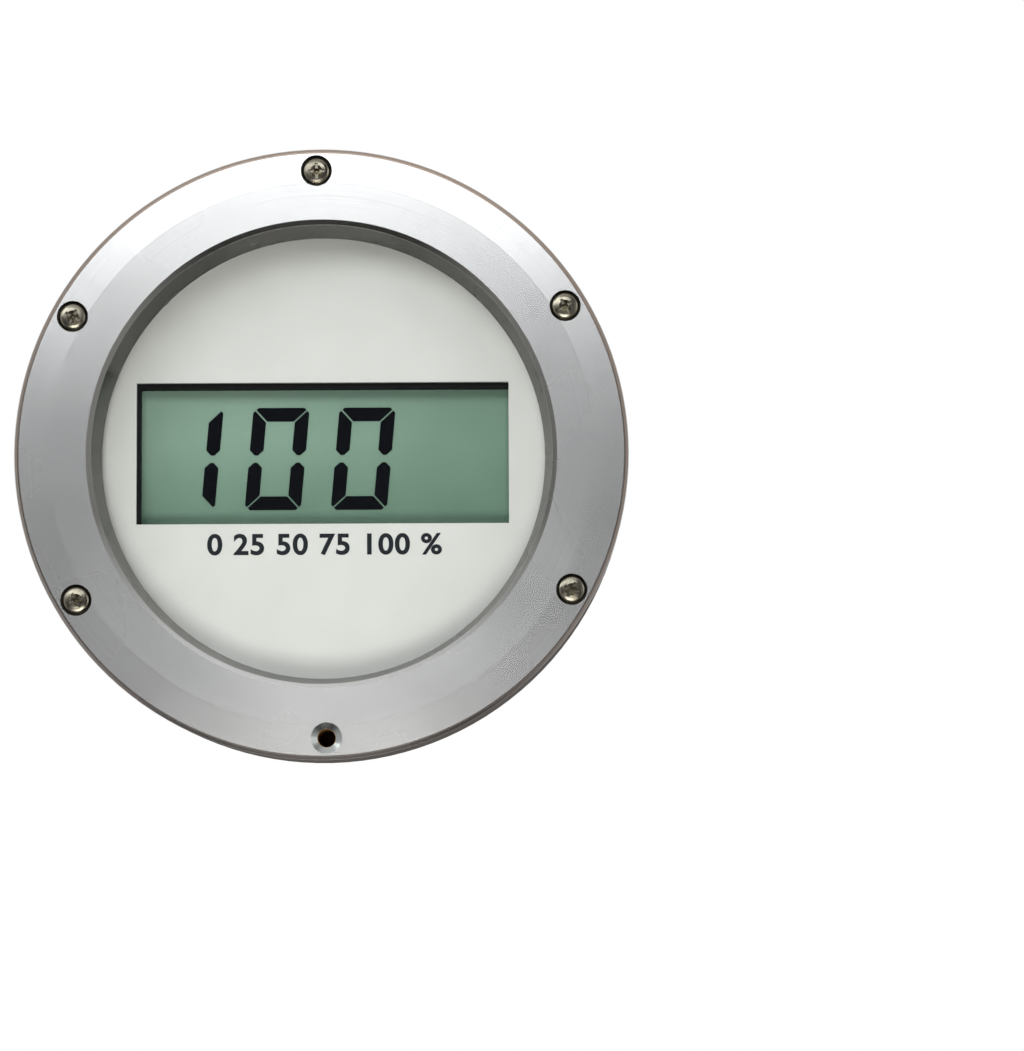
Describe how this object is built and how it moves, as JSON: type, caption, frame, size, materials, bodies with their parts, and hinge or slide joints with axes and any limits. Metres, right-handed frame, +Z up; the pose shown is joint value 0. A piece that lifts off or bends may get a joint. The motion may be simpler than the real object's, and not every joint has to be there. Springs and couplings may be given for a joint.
{
  "type": "position indicator",
  "caption": "Round panel-mounted digital position readout: deep turned bezel, white dial and a grey-green liquid crystal display in a cylindrical case with a rear cable gland.",
  "frame": {"origin": "centre of the mounting stud circle, on the plane where the gasket meets the panel", "axes": "+Z up, -Y toward the reader (the display faces -Y), +Y through the panel along the case"},
  "size_m": [0.1524, 0.1112, 0.1524],
  "materials": {
    "bezel": "satin, turned and brushed, lightly scratched",
    "case": "satin, as machined",
    "screw_steel": "dark, used",
    "bright_steel": "zinc plated",
    "window": "clear, faint scratches",
    "seal_rubber": "matt black",
    "dial": "off-white, matt",
    "frame_black": "matt black",
    "lcd_glass": "clear, grey-green tint",
    "lcd_ink": "near black",
    "reflector": "grey-green, fine grain",
    "pin_brass": "bright",
    "socket_black": "matt black",
    "board": "green solder mask",
    "chip": "moulded epoxy",
    "capacitor": "blue sleeve",
    "trimmer": "blue",
    "terminal": "green",
    "gland": "black nylon"
  },
  "bodies": {
    "root": {"bezel": "bezel", "bezel_screws": "screw_steel", "window_gasket": "seal_rubber", "window": "window", "window_cushion": "seal_rubber", "case_o_ring": "seal_rubber", "case": "case", "panel_gasket": "seal_rubber", "panel_studs": "bright_steel", "dial_plate": "dial", "dial_screws": "bright_steel", "lcd_frame": "frame_black", "lcd_front_glass": "lcd_glass", "lcd_segments": "lcd_ink", "lcd_rear_glass": "lcd_glass", "lcd_reflector": "reflector", "lcd_pins": "pin_brass", "pin_sockets": "socket_black", "display_board": "board", "board_standoffs": "pin_brass", "board_screws": "bright_steel", "driver_chip": "chip", "capacitors": "capacitor", "trimmers": "trimmer", "terminal_block": "terminal", "terminal_screws": "bright_steel", "rear_gasket": "seal_rubber", "rear_cover": "case", "cover_screws": "bright_steel", "earth_screw": "pin_brass", "earth_washer": "pin_brass", "gland_body": "gland", "gland_seal": "seal_rubber", "gland_locknut": "gland", "gland_insert": "seal_rubber", "gland_nut": "gland"}
  },
  "joints": []
}
